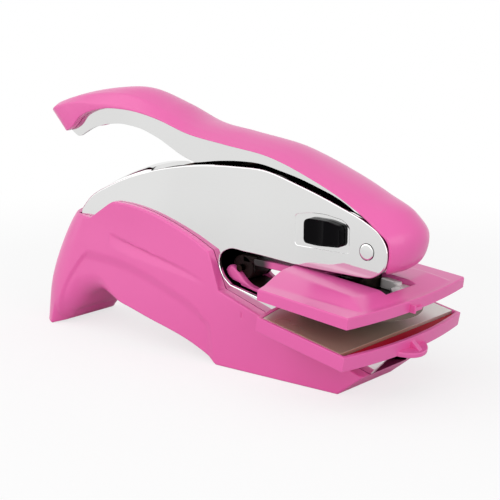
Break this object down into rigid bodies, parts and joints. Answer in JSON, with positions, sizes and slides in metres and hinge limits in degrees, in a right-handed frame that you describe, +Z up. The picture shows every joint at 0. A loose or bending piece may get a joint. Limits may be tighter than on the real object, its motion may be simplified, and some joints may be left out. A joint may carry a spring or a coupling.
{
  "type": "seal embosser",
  "caption": "Hand-held seal embosser: squeeze handle on a steel C-frame, slide-in clip with upper and lower die plates, sliding lock and moulded base.",
  "frame": {"origin": "at mid length, mid width and the table's level: the bottom centre of the bounding box", "axes": "+X from the heel to the die end, +Y to the far side, +Z up"},
  "size_m": [0.1783, 0.07, 0.0945],
  "materials": {
    "coloured_plastic": "satin injection-moulded plastic, bright pink",
    "chrome_steel": "bright chromium-plated pressed steel",
    "plain_steel": "bright steel, plain turned or drawn",
    "satin_steel": "satin rolled steel plate",
    "black_plastic": "glossy black moulded plastic",
    "die_polymer": "hard engraved die plastic, matt"
  },
  "bodies": {
    "stand": {"base_shell": "coloured_plastic", "press_frame": "chrome_steel", "pivot_rivet": "chrome_steel", "press_arm_pin": "plain_steel", "jaw_spacer_front": "plain_steel", "jaw_spacer_rear": "plain_steel", "base_screw_front": "plain_steel", "base_screw_rear": "plain_steel", "return_spring": "plain_steel"},
    "handle": {"handle_cap": "coloured_plastic", "handle_lever": "chrome_steel", "pivot_bush": "plain_steel", "roller_pin": "plain_steel", "press_roller": "plain_steel", "cap_screw_rear": "plain_steel", "cap_screw_front": "plain_steel"},
    "rocker": {"press_arm": "plain_steel", "press_foot": "plain_steel"},
    "lock": {"lock_button": "black_plastic", "lock_latch": "plain_steel"},
    "clip": {"die_tray": "coloured_plastic", "lower_die_plate": "satin_steel", "clip_hinge_pin": "plain_steel"},
    "clip_upper": {"upper_plate": "coloured_plastic", "upper_die_plate": "chrome_steel", "upper_die": "die_polymer"}
  },
  "joints": [
    {"name": "handle_pivot", "type": "hinge", "parent": "stand", "child": "handle", "pos_m": [0.072, 0, 0.049], "axis": [0, -1, 0], "range_deg": [0, 6.2], "stiffness_Nm_per_rad": 0.5, "springref_deg": -20.05},
    {"name": "rocker_pivot", "type": "hinge", "parent": "stand", "child": "rocker", "pos_m": [0.0199, 0, 0.0442], "axis": [0, 1, 0], "range_deg": [0, 5.6]},
    {"name": "lock_slide", "type": "slide", "parent": "stand", "child": "lock", "axis": [-1, 0, 0], "range_m": [0, 0.004]},
    {"name": "clip_slide", "type": "slide", "parent": "stand", "child": "clip", "axis": [0.9806, 0, -0.1959], "range_m": [0, 0.07]},
    {"name": "clip_hinge", "type": "hinge", "parent": "clip", "child": "clip_upper", "pos_m": [0.0153, 0, 0.0343], "axis": [0, 1, 0], "range_deg": [0, 4.6]}
  ],
  "couplings": [
    {"joint": "rocker_pivot", "follows": "handle_pivot", "ratio": 0.88},
    {"joint": "clip_hinge", "follows": "handle_pivot", "ratio": 0.72}
  ]
}
